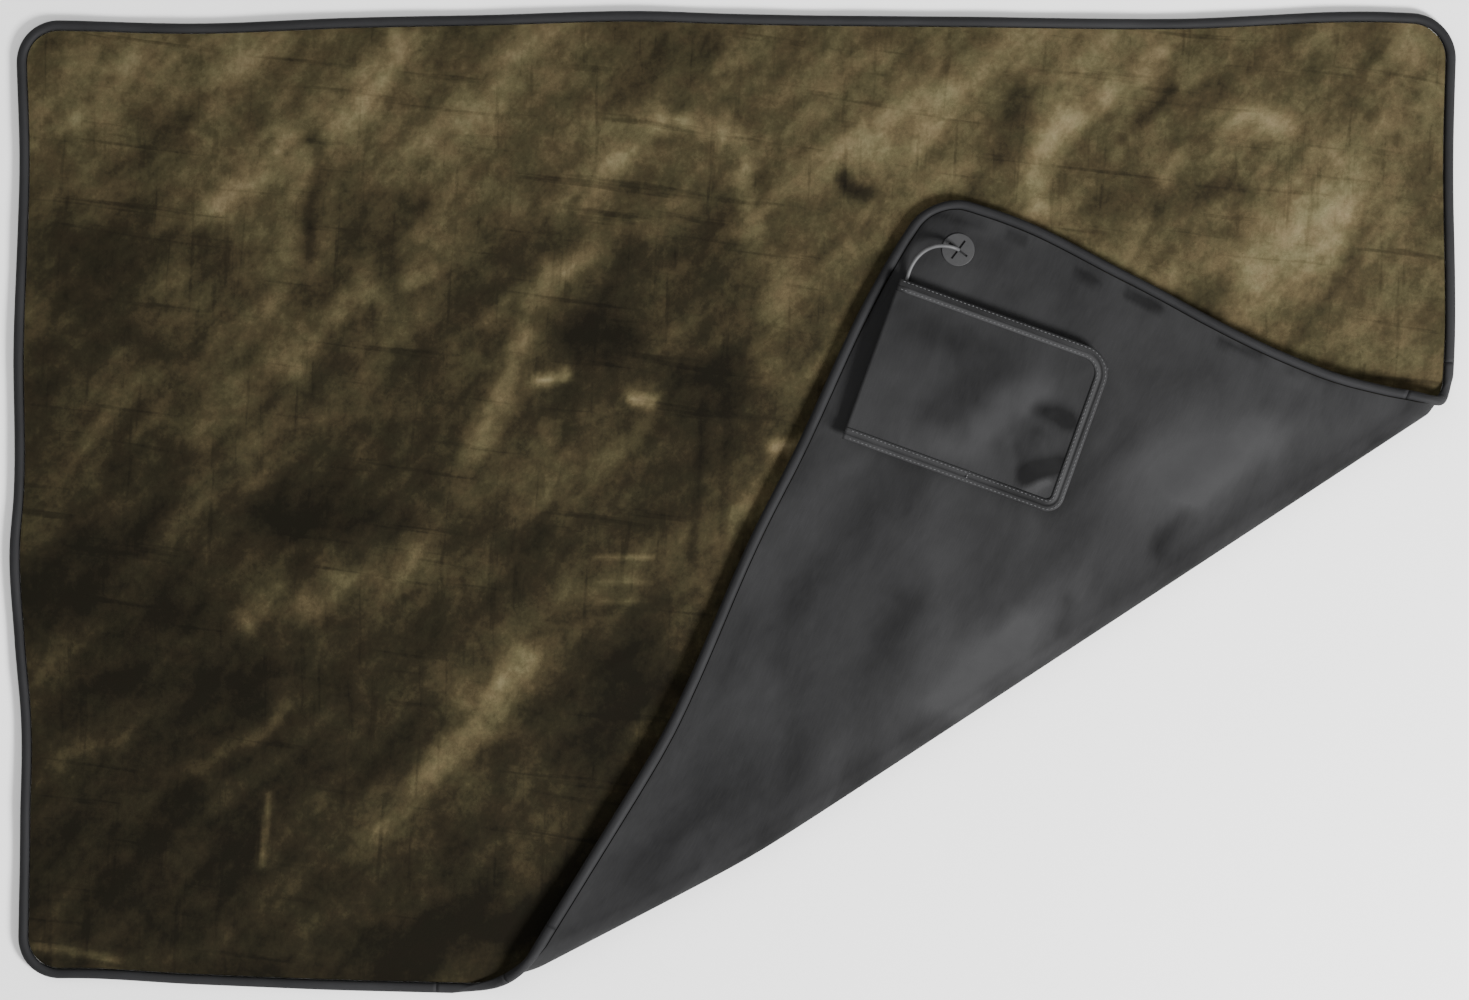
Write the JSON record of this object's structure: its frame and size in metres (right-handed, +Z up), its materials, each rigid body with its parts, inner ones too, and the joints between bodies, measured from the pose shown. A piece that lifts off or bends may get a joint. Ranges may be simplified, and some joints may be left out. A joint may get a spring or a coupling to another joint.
{
  "type": "heated camp blanket",
  "caption": "Padded camp blanket, plush on one face, woven shell on the other, piped edge, heating pads, cable port and power-bank pocket, one corner folded over.",
  "frame": {"origin": "on the ground under the middle of the spread blanket", "axes": "+X along the long side, towards the folded end; +Y along the short side; +Z up, away from the ground"},
  "size_m": [1.5, 1, 0.0467],
  "materials": {
    "plush": "matte",
    "padding": "matte",
    "shell": "satin",
    "piping": "matte",
    "piping_core": "matte",
    "harness": "matte",
    "heating_carrier": "matte",
    "heating_element": "matte",
    "thermal_cutout": "matte",
    "lead_splice": "matte",
    "port": "matte",
    "backing_ring": "matte",
    "pocket_gusset": "satin",
    "thread": "matte",
    "lead": "satin",
    "plug_grip": "satin",
    "plug_shell": "satin",
    "plug_tongue": "gloss",
    "pocket": "satin",
    "pocket_hem": "satin"
  },
  "bodies": {
    "sheet": {"plush_sheet": "plush", "padding_sheet": "padding", "shell_sheet": "shell", "piping_cover_sheet": "piping", "piping_core_sheet": "piping_core", "harness_sheet": "harness", "thermal_cutout": "thermal_cutout", "heating_carrier_left": "heating_carrier", "heating_carrier_centre": "heating_carrier", "heating_carrier_right": "heating_carrier", "heating_element_left": "heating_element", "heating_element_centre": "heating_element", "heating_element_right": "heating_element"},
    "fold_band": {"plush_fold": "plush", "padding_fold": "padding", "shell_fold": "shell", "piping_cover_fold": "piping", "piping_core_fold": "piping_core", "harness_fold": "harness"},
    "corner": {"plush_corner": "plush", "padding_corner": "padding", "shell_corner": "shell", "piping_cover_corner": "piping", "piping_core_corner": "piping_core", "harness_corner": "harness", "lead_splice": "lead_splice", "port_disc": "port", "port_backing_ring": "backing_ring", "pocket_gusset": "pocket_gusset", "pocket_bar_tacks": "thread", "power_lead": "lead", "plug_grip": "plug_grip", "plug_shell": "plug_shell", "plug_tongue": "plug_tongue"},
    "pocket_front": {"pocket_panel": "pocket", "pocket_hem": "pocket_hem"}
  },
  "joints": [
    {"name": "lower_crease", "type": "hinge", "parent": "sheet", "child": "fold_band", "pos_m": [-0.194, -0.5, 0], "axis": [0.8358, 0.549, 0], "range_deg": [0, 90]},
    {"name": "upper_crease", "type": "hinge", "parent": "fold_band", "child": "corner", "pos_m": [-0.194, -0.5, 0.034], "axis": [0.8358, 0.549, 0], "range_deg": [0, 91.3]},
    {"name": "pocket_mouth", "type": "hinge", "parent": "corner", "child": "pocket_front", "pos_m": [0.10979, 0.06453, 0.03838], "axis": [0.9401, -0.3403, 0.0182], "range_deg": [0, 12]}
  ],
  "couplings": [
    {"joint": "upper_crease", "follows": "lower_crease", "ratio": 1.0144}
  ]
}
